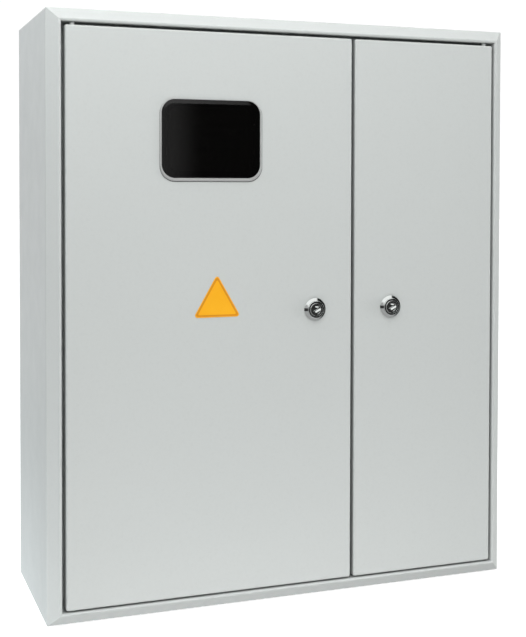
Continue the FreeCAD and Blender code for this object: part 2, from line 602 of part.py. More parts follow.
FLANGE_D = -GASKET_T - 0.5           # front of the pane's flange, under the rim
PANE_D = FLANGE_D - 0.05 - PANE_RISE # front of the pane
flange = rounded_rect_y(WIN_X, WIN_Z, WIN_W + 2 * FLANGE_W, WIN_H + 2 * FLANGE_W, WIN_R + FLANGE_W,
                        FLANGE_D, -GASKET_T)
plug = rounded_rect_y(WIN_X, WIN_Z, WIN_W - 2 * CUT_IN - 0.6, WIN_H - 2 * CUT_IN - 0.6,
                      WIN_R - CUT_IN - 0.3, -GASKET_T - 0.2, SHEET)
crown = rounded_rect_y(WIN_X, WIN_Z, WIN_W - 0.1, WIN_H - 0.1, WIN_R - 0.05, FLANGE_D - 0.05, FLANGE_D + 0.1)
bevel = Part.makeLoft([rounded_wire_y(WIN_X, WIN_Z, WIN_W - 0.1, WIN_H - 0.1, WIN_R - 0.05, FLANGE_D - 0.05),
                       rounded_wire_y(WIN_X + (BEVEL_L - BEVEL_RT) / 2, WIN_Z + (BEVEL_BT - BEVEL_TP) / 2,
                                      WIN_W - 0.1 - BEVEL_L - BEVEL_RT, WIN_H - 0.1 - BEVEL_TP - BEVEL_BT,
                                      WIN_R - 2.0, PANE_D)], True, True)
pane = fuse([flange, plug, crown, bevel])
rim = rounded_rect_y(RIM_X, RIM_Z, RIM_W, RIM_H, RIM_R, -GASKET_T - 0.2, -GASKET_T)
rim = rim.fuse(Part.makeLoft([rounded_wire_y(RIM_X, RIM_Z, RIM_W, RIM_H, RIM_R, -GASKET_T - 0.2),
                              rounded_wire_y(RIM_X + (SLOPE_L - SLOPE_RT) / 2, RIM_Z + (SLOPE_BT - SLOPE_TP) / 2,
                                             RIM_W - SLOPE_L - SLOPE_RT, RIM_H - SLOPE_TP - SLOPE_BT,
                                             RIM_R - 0.8, -RIM_T - GASKET_T)], True, True))
rim = rim.cut(rounded_rect_y(WIN_X, WIN_Z, WIN_W, WIN_H, WIN_R, -RIM_T - 1, 1))
rim = rim.cut(rounded_rect_y(WIN_X, WIN_Z, WIN_W + 2 * FLANGE_W + 0.1, WIN_H + 2 * FLANGE_W + 0.1,
                             WIN_R + FLANGE_W + 0.05, FLANGE_D, 1))
put("window_rim", one(rim))
RET_D0, RET_T = SHEET, 2.4
HOOK_X = WIN_W / 2 - CUT_IN - 3.4
RET_W, RET_H = 100.0, 79.0
RET_IW, RET_IH = 72.0, 54.0
hooks = []
for sx in (-1, 1):
    for hz in (WIN_Z - 10.5, WIN_Z + 10.5):
        hx = WIN_X + sx * HOOK_X
        stem = box(hx - 0.8, hx + 0.8, SHEET - 0.2, SHEET + RET_T + 1.6, hz - 3, hz + 3)
        x_out = hx + sx * 1.9
        barb = box(min(hx, x_out), max(hx, x_out), SHEET + RET_T + 0.1, SHEET + RET_T + 1.6, hz - 3, hz + 3)
        hooks += [stem, barb]
pane = pane.fuse(hooks).removeSplitter()
put("window_pane", one(pane))
ret = rounded_rect_y(WIN_X, WIN_Z, RET_W, RET_H, 14.0, RET_D0, RET_D0 + RET_T)
ret = ret.cut(rounded_rect_y(WIN_X, WIN_Z, RET_IW, RET_IH, 7.5, RET_D0 - 1, RET_D0 + RET_T + 1))
for sx in (-1, 1):
    for hz in (WIN_Z - 10.5, WIN_Z + 10.5):
        hx = WIN_X + sx * HOOK_X
        a, b = hx - 1.0, hx + 1.0
        ret = ret.cut(box(a, b, RET_D0 - 1, RET_D0 + RET_T + 1, hz - 3.3, hz + 3.3))
put("window_retainer", one(ret))
# the gasket shows a little at the bottom and on the right, and hardly on the left
gas = rounded_rect_y(RIM_X + 0.075, RIM_Z - 0.325, RIM_W + 0.35, RIM_H + 0.25, RIM_R + 0.1, -GASKET_T, 0.0)
gas = gas.cut(rounded_rect_y(WIN_X, WIN_Z, WIN_W - 2 * CUT_IN - 0.5, WIN_H - 2 * CUT_IN - 0.5,
                             WIN_R - CUT_IN - 0.25, -1, 1))
put("window_gasket", one(gas))


# triangular sticker with rounded corners on the left door
def triangle(x, z, side, h, r, d0, d1):
    pts = [Vector(x - side / 2, d0, z), Vector(x + side / 2, d0, z), Vector(x, d0, z + h)]
    pts.append(pts[0])
    s = Part.Face(Part.makePolygon(pts)).extrude(Vector(0, d1 - d0, 0))
    return s.makeFillet(r, [e for e in s.Edges if abs(e.tangentAt(e.FirstParameter).y) > 0.9])


put("triangle_sticker", triangle(STICKER_X, STICKER_Z, STICKER_SIDE, STICKER_H, STICKER_R,
                                 -STICKER_T, 0.0))

# earth studs on the back of the doors
for tag, sx in (("left", HINGE_X[0] + 22.0), ("right", HINGE_X[1] - 22.0)):
    st = cyl_y(sx, 46.0, 2.5, SHEET, SHEET + 12.0)
    st = st.makeChamfer(0.5, [e for e in st.Edges if e.Curve.TypeId == "Part::GeomCircle"
                              and abs(e.Curve.Center.y - SHEET - 12.0) < 1e-6])
    st = st.fuse(hex_y(sx, 46.0, 8.0, SHEET, SHEET + 4.0))
    put(tag + "_door_earth_stud", one(st.removeSplitter()))


# ---------------------------------------------------------------------------
# cam locks
# ---------------------------------------------------------------------------
def revolve_y(x, z, pts):
    """Solid of revolution about a Y line; pts are (radius, depth), closed."""
    vs = [Vector(x + r, d, z) for r, d in pts]
    vs.append(vs[0])
    return Part.Face(Part.makePolygon(vs)).revolve(Vector(x, 0, z), Vector(0, 1, 0), 360)


for tag, lx in LOCKS.items():
    s = 1 if tag == "left" else -1          # side of the post seen from the lock
    bore = PLUG_R + PLUG_CLEAR
    # bezel: thin rim, sloping flange, raised ring round the plug
    bez = revolve_y(lx, LOCK_Z, [(bore, 2.0), (bore, -3.72), (bore + 0.08, -3.8), (RING_R - 0.25, -3.8),
                                 (RING_R, -3.6), (RING_R + 0.08, -2.3), (RING_R + 0.4, -1.95),
                                 (BEZEL_R - 0.5, -0.95), (BEZEL_R - 0.35, -0.82), (BEZEL_R, -0.2),
                                 (BEZEL_R, 0.0), (BARREL_FLAT - 0.5, 0.0), (BARREL_FLAT - 0.5, 2.0)])
    barrel = barrel_section(lx, BARREL_R, BARREL_FLAT, 0.0, BARREL_D)
    barrel = barrel.cut(cyl_y(lx, LOCK_Z, bore, -1, BARREL_D + 1))
    house = fuse([bez, barrel])
    # index notch at nine o'clock on the flange
    house = house.cut(box(lx - BEZEL_R + 0.2, lx - RING_R - 0.1, -3.0, -0.45, LOCK_Z - 1.0, LOCK_Z + 1.0))
    put(tag + "_lock_housing", one(house))

    nut = nut_y(lx, LOCK_Z, 23.0, BARREL_R + 0.06, SHEET, SHEET + 4.5, 30.0)
    put(tag + "_lock_nut", one(nut))

    # plug: flat face with a bevelled edge, a round shutter seat, key slot, square shank and end hole
    plug = revolve_y(lx, LOCK_Z, [(0.0, CAM_D0 - 0.15), (0.0, -LOCK_PROUD), (PLUG_R - 0.5, -LOCK_PROUD), (PLUG_R, -3.45),
                                  (PLUG_R, CAM_D0 - 0.15)])
    shank = box(lx - SHANK / 2, lx + SHANK / 2, CAM_D0 - 0.3, CAM_D1 + 0.1, LOCK_Z - SHANK / 2, LOCK_Z + SHANK / 2)
    shank = shank.makeChamfer(0.8, [e for e in shank.Edges if abs(e.tangentAt(e.FirstParameter).y) > 0.9])
    plug = fuse([plug, shank])
    plug = plug.cut(cyl_y(lx, LOCK_Z, SEAT_R, -5.0, -1.4))
    key = fuse([box(lx - 3.0, lx + 3.0, -1.5, 9.0, LOCK_Z - 0.75, LOCK_Z + 0.75),
                box(lx - 1.0, lx + 1.4, -1.5, 9.0, LOCK_Z - 1.3, LOCK_Z + 0.2)])
    key.rotate(Vector(lx, 0, LOCK_Z), Vector(0, 1, 0), -KEY_TILT)
    plug = plug.cut(key)
    plug = plug.cut(cyl_y(lx, LOCK_Z, 1.62, 14.0, CAM_D1 + 1))
    put(tag + "_lock_plug", one(plug))

    # spring shutter over the key slot: a disc with a slit, a long sloping lip below it
    # and a short one above it
    shut = cyl_y(lx, LOCK_Z, SEAT_R - 0.06, -3.05, -1.45)
    lip = Part.Face(Part.makePolygon([Vector(lx - 1.65, -3.0, LOCK_Z - 0.77), Vector(lx - 1.65, -3.95, LOCK_Z - 2.25),
                                      Vector(lx - 1.65, -3.0, LOCK_Z - 2.25), Vector(lx - 1.65, -3.0, LOCK_Z - 0.77)]))
    lip = lip.extrude(Vector(6.0, 0, 0)).common(cyl_y(lx, LOCK_Z, SEAT_R - 0.06, -5.0, -1.5))
    shut = shut.fuse(lip).cut(box(lx - 2.8, lx + 2.6, -5.0, -2.4, LOCK_Z - 0.35, LOCK_Z + 0.05))
    shut.rotate(Vector(lx, 0, LOCK_Z), Vector(0, 1, 0), -KEY_TILT)
    top = Part.Face(Part.makePolygon([Vector(lx - 1.0, -3.0, LOCK_Z + 3.05), Vector(lx - 1.0, -3.82, LOCK_Z + 1.75),
                                      Vector(lx - 1.0, -3.0, LOCK_Z + 1.75), Vector(lx - 1.0, -3.0, LOCK_Z + 3.05)]))
    oval = Part.Face(Part.Wire(Part.Ellipse(Vector(0, 0, 0), 1.65, 0.65).toShape())).extrude(Vector(0, 0, 3.0))
    oval.rotate(Vector(0, 0, 0), Vector(1, 0, 0), 90)
    oval = oval.translated(Vector(lx + 0.75, -1.5, LOCK_Z + 2.4))
    shut = shut.fuse(top.extrude(Vector(3.6, 0, 0)).common(oval))
    put(tag + "_lock_shutter", one(shut))

    # cam hangs straight down when unlocked; a quarter turn takes it behind the brim
    r = CAM_W / 2
    cam = fuse([cyl_y(lx, LOCK_Z, r, CAM_D0, CAM_D1),
                box(lx - r, lx + r, CAM_D0, CAM_D1, LOCK_Z - CAM_REACH + 4.0, LOCK_Z),
                cyl_y(lx - r + 4.0, LOCK_Z - CAM_REACH + 4.0, 4.0, CAM_D0, CAM_D1),
                cyl_y(lx + r - 4.0, LOCK_Z - CAM_REACH + 4.0, 4.0, CAM_D0, CAM_D1),
                box(lx - r + 4.0, lx + r - 4.0, CAM_D0, CAM_D1, LOCK_Z - CAM_REACH, LOCK_Z)])
    sq = box(lx - SHANK / 2 - 0.05, lx + SHANK / 2 + 0.05, CAM_D0 - 1, CAM_D1 + 1,
             LOCK_Z - SHANK / 2 - 0.05, LOCK_Z + SHANK / 2 + 0.05)
    sq = sq.makeChamfer(0.8, [e for e in sq.Edges if abs(e.tangentAt(e.FirstParameter).y) > 0.9])
    put(tag + "_lock_cam", one(cam.cut(sq)))

    # cam screw with its washer, hexagon head
    head = hex_y(lx, LOCK_Z, 7.0, CAM_D1 + 1.2, CAM_D1 + 4.0)
    wash = cyl_y(lx, LOCK_Z, 5.0, CAM_D1 + 0.15, CAM_D1 + 1.2)
    pin = cyl_y(lx, LOCK_Z, 1.6, 15.0, CAM_D1 + 1.2)
    put(tag + "_lock_cam_screw", one(fuse([head, wash, pin])))


# ---------------------------------------------------------------------------
# write one file per node, moved to the row frame
# ---------------------------------------------------------------------------
os.makedirs("parts", exist_ok=True)
for name, solids in nodes.items():
    moved = []
    for s in solids:
        c = s.copy()
        c.translate(Vector(0, Y_FRONT, 0))
        moved.append(c)
    shape = moved[0] if len(moved) == 1 else Part.makeCompound(moved)
    shape.exportStep(os.path.join("parts", name + ".step"))
    bb = shape.BoundBox
    print("%-24s %2d  vol %9.1f  x %7.2f %7.2f  y %7.2f %7.2f  z %7.2f %7.2f" % (
        name, len(moved), shape.Volume, bb.XMin, bb.XMax, bb.YMin, bb.YMax, bb.ZMin, bb.ZMax))
print(len(nodes), "nodes")
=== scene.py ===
import math

import bmesh
import bpy
from mathutils import Matrix, Vector


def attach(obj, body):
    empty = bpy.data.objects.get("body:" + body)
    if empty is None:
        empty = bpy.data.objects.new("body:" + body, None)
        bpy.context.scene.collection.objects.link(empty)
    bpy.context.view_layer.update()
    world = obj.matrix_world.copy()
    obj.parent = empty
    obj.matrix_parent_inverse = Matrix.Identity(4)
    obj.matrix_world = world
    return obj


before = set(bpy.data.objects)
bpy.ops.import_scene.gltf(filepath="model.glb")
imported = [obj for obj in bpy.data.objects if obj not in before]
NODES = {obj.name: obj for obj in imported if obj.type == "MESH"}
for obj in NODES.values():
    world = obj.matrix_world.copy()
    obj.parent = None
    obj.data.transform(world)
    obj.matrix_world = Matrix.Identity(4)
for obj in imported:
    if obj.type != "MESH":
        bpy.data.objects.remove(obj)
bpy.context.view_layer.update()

scene = bpy.context.scene

YF = -0.073            # front plane of the closed doors
BOX_W, BOX_H, BOX_D = 0.420, 0.500, 0.150

# ---------------------------------------------------------------------------
# camera, at the photograph's viewing angle
# ---------------------------------------------------------------------------
FOCAL = 1157.51        # in pixels of the 526 x 637 frame
YAW, PITCH, ROLL = math.radians(20.23), math.radians(1.46), math.radians(0.11)
CAM_AT = Vector((-0.36723, -0.92331 + YF, 0.35345))
CENTRE_Y = 220.0

fwd = Vector((math.sin(YAW) * math.cos(PITCH), math.cos(YAW) * math.cos(PITCH), -math.sin(PITCH)))
rgt = Vector((math.cos(YAW), -math.sin(YAW), 0.0))
upv = rgt.cross(fwd)
r2 = math.cos(ROLL) * rgt + math.sin(ROLL) * upv
u2 = -math.sin(ROLL) * rgt + math.cos(ROLL) * upv
cam_data = bpy.data.cameras.new("camera")
cam = bpy.data.objects.new("camera", cam_data)
scene.collection.objects.link(cam)
cam.matrix_world = Matrix(((r2.x, u2.x, -fwd.x, CAM_AT.x),
                           (r2.y, u2.y, -fwd.y, CAM_AT.y),
                           (r2.z, u2.z, -fwd.z, CAM_AT.z),
                           (0, 0, 0, 1)))
cam_data.sensor_width = 36.0
cam_data.sensor_fit = "AUTO"
cam_data.lens = FOCAL * 36.0 / 637.0
cam_data.shift_x = 0.0
cam_data.shift_y = (CENTRE_Y - 318.5) / 637.0
cam_data.clip_start, cam_data.clip_end = 0.01, 100.0
scene.camera = cam

scene.view_settings.view_transform = "Standard"
scene.view_settings.look = "None"
scene.view_settings.exposure = 0.0
scene.view_settings.gamma = 1.0


# ---------------------------------------------------------------------------
# node helpers
# ---------------------------------------------------------------------------
class Mat:
    def __init__(self, name):
        self.m = bpy.data.materials.new(name)
        self.m.use_nodes = True
        self.t = self.m.node_tree
        self.t.nodes.clear()
        self.out = self.n("ShaderNodeOutputMaterial")
        self.p = self.n("ShaderNodeBsdfPrincipled")
        self.link(self.p.outputs["BSDF"], self.out.inputs["Surface"])
        self.co = self.n("ShaderNodeTexCoord").outputs["Object"]

    def n(self, kind, **props):
        node = self.t.nodes.new(kind)
        for k, v in props.items():
            setattr(node, k, v)
        return node

    def link(self, a, b):
        self.t.links.new(a, b)

    def set(self, **vals):
        for k, v in vals.items():
            self.p.inputs[k.replace("_", " ")].default_value = v

    def mapping(self, scale=(1, 1, 1), rot=(0, 0, 0), loc=(0, 0, 0)):
        mp = self.n("ShaderNodeMapping")
        self.link(self.co, mp.inputs["Vector"])
        mp.inputs["Scale"].default_value = scale
        mp.inputs["Rotation"].default_value = rot
        mp.inputs["Location"].default_value = loc
        return mp.outputs["Vector"]

    def noise(self, scale, detail=2.0, rough=0.5, vec=None, distort=0.0):
        nz = self.n("ShaderNodeTexNoise")
        self.link(vec or self.co, nz.inputs["Vector"])
        nz.inputs["Scale"].default_value = scale
        nz.inputs["Detail"].default_value = detail
        nz.inputs["Roughness"].default_value = rough
        nz.inputs["Distortion"].default_value = distort
        return nz.outputs["Fac"]

    def ramp(self, fac, stops, interp="LINEAR"):
        rp = self.n("ShaderNodeValToRGB")
        rp.color_ramp.interpolation = interp
        el = rp.color_ramp.elements
        while len(el) > 1:
            el.remove(el[-1])
        el[0].position, el[0].color = stops[0][0], tuple(stops[0][1]) + (1.0,)
        for pos, c in stops[1:]:
            e = el.new(pos)
            e.color = tuple(c) + (1.0,)
        self.link(fac, rp.inputs["Fac"])
        return rp.outputs["Color"]

    def range(self, fac, a, b, c, d):
        mr = self.n("ShaderNodeMapRange")
        mr.inputs["From Min"].default_value = a
        mr.inputs["From Max"].default_value = b
        mr.inputs["To Min"].default_value = c
        mr.inputs["To Max"].default_value = d
        self.link(fac, mr.inputs["Value"])
        return mr.outputs["Result"]

    def math(self, op, a, b=None, clamp=False):
        mt = self.n("ShaderNodeMath", operation=op)
        mt.use_clamp = clamp
        for i, v in enumerate((a, b)):
            if v is None:
                continue
            if isinstance(v, (int, float)):
                mt.inputs[i].default_value = v
            else:
                self.link(v, mt.inputs[i])
        return mt.outputs["Value"]

    def bump(self, height, strength, distance, normal=None):
        bp = self.n("ShaderNodeBump")
        bp.inputs["Strength"].default_value = strength
        bp.inputs["Distance"].default_value = distance
        self.link(height, bp.inputs["Height"])
        if normal is not None:
            self.link(normal, bp.inputs["Normal"])
        return bp.outputs["Normal"]

    def mix(self, fac, a, b):
        mx = self.n("ShaderNodeMix", data_type="RGBA")
        if isinstance(fac, (int, float)):
            mx.inputs["Factor"].default_value = fac
        else:
            self.link(fac, mx.inputs["Factor"])
        for key, v in (("A", a), ("B", b)):
            sock = [s for s in mx.inputs if s.name == key and s.type == "RGBA"][0]
            if isinstance(v, (tuple, list)):
                sock.default_value = tuple(v) + (1.0,)
            else:
                self.link(v, sock)
        return [s for s in mx.outputs if s.type == "RGBA"][0]


def shade(c, k):
    return tuple(min(1.0, v * k) for v in c)


def powder_coat(name, base, rough=0.36, peel=0.05, grain=1.0, gap_shade_depth=None):
    """Satin powder coat: orange peel, faint cloudiness, tiny pits. Given a depth, the folded edges that face sideways
    behind it
    are darkened to 0.70 of the base colour: painted shade in the gaps between the doors."""
    m = Mat(name)
    cloud = m.noise(7.0, 3.0, 0.55)
    fine = m.noise(420.0, 2.0, 0.5)
    col = m.ramp(cloud, [(0.30, shade(base, 0.994)), (0.70, shade(base, 1.006))])
    speck = m.ramp(fine, [(0.25, (0.955, 0.955, 0.955)), (0.45, (1.0, 1.0, 1.0)), (0.75, (1.02, 1.02, 1.02))])
    mul = m.n("ShaderNodeMix", data_type="RGBA", blend_type="MULTIPLY")
    mul.inputs["Factor"].default_value = 0.5
    ins = [s for s in mul.inputs if s.type == "RGBA"]
    m.link(col, ins[0])
    m.link(speck, ins[1])
    tone = [s for s in mul.outputs if s.type == "RGBA"][0]
    # painted shade: sideways-facing folded edges behind the given depth are darkened, standing in for the shade in the
    # door gaps
    if gap_shade_depth is not None:
        depth = m.n("ShaderNodeSeparateXYZ")
        m.link(m.co, depth.inputs[0])
        facing = m.n("ShaderNodeSeparateXYZ")
        m.link(m.n("ShaderNodeTexCoord").outputs["Normal"], facing.inputs[0])
        edge = m.range(m.math("ABSOLUTE", facing.outputs["Y"]), 0.2, 0.7, 1.0, 0.0)
        behind = m.range(depth.outputs["Y"], gap_shade_depth, gap_shade_depth + 0.003, 0.0, 1.0)
        tone = m.mix(m.math("MULTIPLY", edge, behind), tone, shade(base, 0.70))
    m.link(tone, m.p.inputs["Base Color"])
    m.link(m.range(m.noise(60.0, 3.0), 0.3, 0.7, rough - 0.03, rough + 0.04), m.p.inputs["Roughness"])
    peel_h = m.noise(650.0 * grain, 2.0, 0.6)
    wide_h = m.noise(45.0, 2.0, 0.5)
    n1 = m.bump(wide_h, 0.006, 0.002)
    m.link(m.bump(peel_h, peel, 0.0004, n1), m.p.inputs["Normal"])
    m.set(Specular_IOR_Level=0.45)
    return m.m


def galvanized(name):
    """Hot-dip galvanized sheet: crystalline spangle of slightly different greys."""
    m = Mat(name)
    vor = m.n("ShaderNodeTexVoronoi")
    m.link(m.mapping(scale=(1, 1, 1)), vor.inputs["Vector"])
    vor.inputs["Scale"].default_value = 230.0
    hsv = m.n("ShaderNodeSeparateColor")
    m.link(vor.outputs["Color"], hsv.inputs["Color"])
    col = m.ramp(hsv.outputs["Red"], [(0.0, (0.50, 0.52, 0.54)), (0.5, (0.57, 0.59, 0.61)), (1.0, (0.66, 0.68, 0.69))])
    m.link(col, m.p.inputs["Base Color"])
    m.link(m.range(hsv.outputs["Green"], 0.0, 1.0, 0.30, 0.50), m.p.inputs["Roughness"])
    m.link(m.bump(m.noise(900.0, 2.0), 0.08, 0.0003, m.bump(hsv.outputs["Blue"], 0.05, 0.0002)), m.p.inputs["Normal"])
    m.set(Metallic=0.9)
    return m.m


def metal(name, base, rough, scratch=0.10, scratch_dir="x", metallic=1.0, tarnish=0.94):
    """Worked metal: faint draw lines along one direction and uneven gloss."""
    m = Mat(name)
    sc = {"x": (30.0, 900.0, 900.0), "y": (900.0, 30.0, 900.0), "z": (900.0, 900.0, 30.0), "n": (400.0, 400.0, 400.0)}[scratch_dir]
    lines = m.noise(1.0, 3.0, 0.6, vec=m.mapping(scale=sc))
    blot = m.noise(90.0, 3.0, 0.6)
    m.link(m.ramp(blot, [(0.3, shade(base, tarnish)), (0.7, base)]), m.p.inputs["Base Color"])
    m.link(m.range(lines, 0.3, 0.7, max(0.02, rough - 0.06), rough + 0.08), m.p.inputs["Roughness"])
    m.link(m.bump(lines, scratch, 0.0002), m.p.inputs["Normal"])
    m.set(Metallic=metallic)
    return m.m


def chrome(name, base=(0.775, 0.80, 0.79), rough=0.05):
    m = Mat(name)
    cloud = m.noise(260.0, 3.0, 0.6)
    m.link(m.ramp(cloud, [(0.3, shade(base, 0.96)), (0.7, base)]), m.p.inputs["Base Color"])
    m.link(m.range(cloud, 0.3, 0.75, rough, rough + 0.06), m.p.inputs["Roughness"])
    m.link(m.bump(m.noise(500.0, 2.0), 0.02, 0.0002), m.p.inputs["Normal"])
    m.set(Metallic=1.0)
    return m.m


def plastic(name, base, rough=0.45, grain=0.06, sss=0.0):
    m = Mat(name)
    a = m.noise(40.0, 3.0)
    m.link(m.ramp(a, [(0.3, shade(base, 0.93)), (0.7, shade(base, 1.05))]), m.p.inputs["Base Color"])
    m.link(m.range(m.noise(300.0, 2.0), 0.3, 0.7, rough - 0.05, rough + 0.07), m.p.inputs["Roughness"])
    m.link(m.bump(m.noise(1400.0, 2.0, 0.6), grain, 0.0003), m.p.inputs["Normal"])
    m.set(Specular_IOR_Level=0.5)
    return m.m


def smoked_pane(name):
    """Dark smoked polycarbonate, glossy, with a trace of moulding ripple."""
    m = Mat(name)
    rip = m.noise(18.0, 2.0, 0.5)
    m.link(m.ramp(rip, [(0.3, (0.070, 0.064, 0.060)), (0.7, (0.085, 0.080, 0.075))]), m.p.inputs["Base Color"])
    m.link(m.range(m.noise(120.0, 2.0), 0.3, 0.7, 0.015, 0.045), m.p.inputs["Roughness"])
    m.link(m.bump(rip, 0.02, 0.001), m.p.inputs["Normal"])
    m.set(Transmission_Weight=0.985, IOR=1.5)
    return m.m


def yellow_film(name):
    """Plain printed film: even yellow with the faint tooth of the vinyl."""
    m = Mat(name)
    a = m.noise(60.0, 3.0)
    m.link(m.ramp(a, [(0.3, (0.785, 0.360, 0.007)), (0.7, (0.815, 0.398, 0.012))]), m.p.inputs["Base Color"])
    m.link(m.range(m.noise(500.0, 2.0), 0.3, 0.7, 0.32, 0.45), m.p.inputs["Roughness"])
    m.link(m.bump(m.noise(900.0, 2.0), 0.04, 0.0002), m.p.inputs["Normal"])
    m.set(Specular_IOR_Level=0.5)
    return m.m


GREY = (0.475, 0.497, 0.488)
M = {
    "shell": powder_coat("shell_powder_coat", GREY),
    # the doors' coat carries painted shade on its folded edges inside the gaps between the doors
    "door": powder_coat("door_powder_coat", shade(GREY, 1.0), gap_shade_depth=-0.0725),
    "inside": powder_coat("inside_powder_coat", shade(GREY, 0.97), rough=0.48),
    "galv": galvanized("galvanized_sheet"),
    "zinc": metal("zinc_plate", (0.62, 0.62, 0.58), 0.30, 0.06, "n"),
    "cam": metal("yellow_zinc_plate", (0.64, 0.58, 0.42), 0.30, 0.08, "z"),
    "chrome": chrome("lock_chrome_plate"),
    "plug": chrome("lock_plug_chrome", (0.645, 0.66, 0.655), 0.07),
    "brass": metal("drawn_brass", (0.78, 0.56, 0.24), 0.28, 0.12, "x"),
    "screw": metal("bar_screw_steel", (0.66, 0.66, 0.62), 0.28, 0.05, "n"),
    "blue": plastic("blue_insulator", (0.035, 0.10, 0.32)),
    "green": plastic("green_insulator", (0.030, 0.16, 0.060)),
    "rubber": plastic("black_rubber", (0.018, 0.018, 0.018), 0.68, 0.12),
    "black": plastic("black_plastic", (0.022, 0.022, 0.022), 0.42, 0.08),
    "mark": plastic("index_mark_black", (0.012, 0.012, 0.012), rough=0.75, grain=0.04),
    "pane": smoked_pane("smoked_polycarbonate"),
    "pin": plastic("painted_pin", (0.44, 0.46, 0.45), 0.45, 0.03),
    "film": yellow_film("yellow_film"),
    "rim": plastic("pale_rim_plastic", (0.345, 0.352, 0.348), 0.34, 0.03),
    "amber": plastic("amber_print", (0.60, 0.225, 0.008), 0.36, 0.03),
}
LOOK = {
    "body_shell": "shell", "back_panel": "inside", "centre_post": "inside", "divider_plate": "inside",
    "cable_pass_trim": "rubber", "meter_plate": "galv", "meter_plate_spacers": "zinc",
    "meter_plate_screws": "zinc", "din_rail": "galv", "din_rail_brackets": "galv",
    "din_rail_screws": "zinc", "breaker_cover": "inside", "breaker_cover_brackets": "inside",
    "breaker_cover_screws": "zinc", "neutral_bar": "brass", "neutral_bar_screws": "screw",
    "neutral_bar_holder": "blue", "earth_bar": "brass", "earth_bar_screws": "screw",
    "earth_bar_holder": "green", "earth_stud": "zinc", "earth_stud_nuts": "zinc",
    "left_door_panel": "door", "window_pane": "pane", "window_gasket": "rubber", "window_rim": "rim",
    "window_retainer": "black", "triangle_sticker": "film", "left_lock_housing": "chrome",
    "left_lock_nut": "zinc", "left_hinge_pins": "pin", "left_door_earth_stud": "zinc",
    "right_door_panel": "door", "right_lock_housing": "chrome", "right_lock_nut": "zinc",
    "right_hinge_pins": "pin", "right_door_earth_stud": "zinc",
    "left_lock_plug": "plug", "left_lock_shutter": "chrome", "left_lock_cam": "cam", "left_lock_cam_screw": "zinc",
    "right_lock_plug": "plug", "right_lock_shutter": "chrome", "right_lock_cam": "cam", "right_lock_cam_screw": "zinc",
}
missing = sorted(set(NODES) - set(LOOK))
if missing:
    raise RuntimeError("no look for " + ", ".join(missing))
for node, obj in NODES.items():
    obj.data.materials.clear()
    obj.data.materials.append(M[LOOK[node]])


# ---------------------------------------------------------------------------
# small pieces that the solids leave out
# ---------------------------------------------------------------------------
MM = 0.001
LOCK_Z = 250.7
LOCKS = {"left": 21.0, "right": 93.4}
SLOTS = {}


def piece(name, mesh, material, body):
    ob = bpy.data.objects.new(name, mesh)
    scene.collection.objects.link(ob)
    mesh.materials.append(material)
    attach(ob, body)
    return ob


def mesh_from(name, verts, faces, smooth=False):
    """Mesh from points in mm with the depth measured from the doors' front plane."""
    me = bpy.data.meshes.new(name)
    me.from_pydata([(x * MM, YF + d * MM, z * MM) for x, d, z in verts], [], faces)
    bm = bmesh.new()
    bm.from_mesh(me)
    bmesh.ops.recalc_face_normals(bm, faces=bm.faces)
    bm.to_mesh(me)
    bm.free()
    for poly in me.polygons:
        poly.use_smooth = smooth
    return me


def bezel_depth(r):
    """Depth of the bezel's flange at this radius, from its turned profile."""
    line = [(7.48, -2.3), (7.8, -1.95), (9.7, -0.95), (9.85, -0.82), (10.2, -0.2)]
    r = min(max(r, line[0][0]), line[-1][0])
    for (r0, d0), (r1, d1) in zip(line, line[1:]):
        if r <= r1:
            return d0 + (d1 - d0) * (r - r0) / (r1 - r0)
    return line[-1][1]


def index_mark(tag, lx):
    """Black filling of the bezel's notch at nine o'clock, brushed a little over its edges."""
    r_out, r_in, hw = 10.02, 7.58, 1.27
    across = (-hw, -hw + 0.12, -0.6, 0.0, 0.6, hw - 0.12, hw)
    steps = 13
    verts, faces = [], []
    for i in range(steps):
        x = r_out + (r_in - r_out) * i / (steps - 1)
        ring = [(-hw, -0.17)]
        for z in across:
            lift = 0.01 if abs(z) > hw - 0.05 else 0.05
            ring.append((z, bezel_depth(math.hypot(x, z)) - lift))
        ring.append((hw, -0.17))
        verts += [(lx - x, d, LOCK_Z + z) for z, d in ring]
    n = len(across) + 2
    for i in range(steps - 1):
        for j in range(n):
            k = (j + 1) % n
            faces.append((i * n + j, i * n + k, (i + 1) * n + k, (i + 1) * n + j))
    faces.append(tuple(range(n)))
    faces.append(tuple(range((steps - 1) * n, steps * n))[::-1])
    piece(tag + "_index_mark", mesh_from(tag + "_index_mark", verts, faces), M["mark"], tag + "_door")


def thread(name, at, axis, r, height, pitch, d0, d1, flat, material, body):
    """Helical ridge on a round bar; flat is the half width of two flats, or None."""
    x0, z0 = at
    per = 40
    turns = (d1 - d0) / pitch
    total = int(per * turns)
    verts, faces = [], []
    for i in range(total + 1):
        a = 2 * math.pi * i / per
        d = d0 + pitch * i / per
        limit = r + height
        base = r - 0.05
        if flat is not None:
            c = abs(math.cos(a))
            if c > 1e-6 and flat / c < r:
                limit = base = flat / c - 0.06
                base -= 0.05
            elif c > 1e-6:
                limit = min(limit, flat / c + 0.6 * (flat / c - r))
                limit = max(limit, base + 0.01)
        fade = min(1.0, i / 12.0, (total - i) / 12.0)
        top = base + (limit - base) * max(0.02, fade)
        for rad, dd in ((base, -0.42 * pitch), (top, -0.08 * pitch), (top, 0.08 * pitch), (base, 0.42 * pitch)):
            verts.append((x0 + rad * math.cos(a), d + dd, z0 + rad * math.sin(a)))
    for i in range(total):
        for j in range(4):
            k = (j + 1) % 4
            faces.append((i * 4 + j, i * 4 + k, i * 4 + 4 + k, i * 4 + 4 + j))
    faces.append((0, 1, 2, 3))
    faces.append((total * 4 + 3, total * 4 + 2, total * 4 + 1, total * 4))
    piece(name, mesh_from(name, verts, faces), material, body)


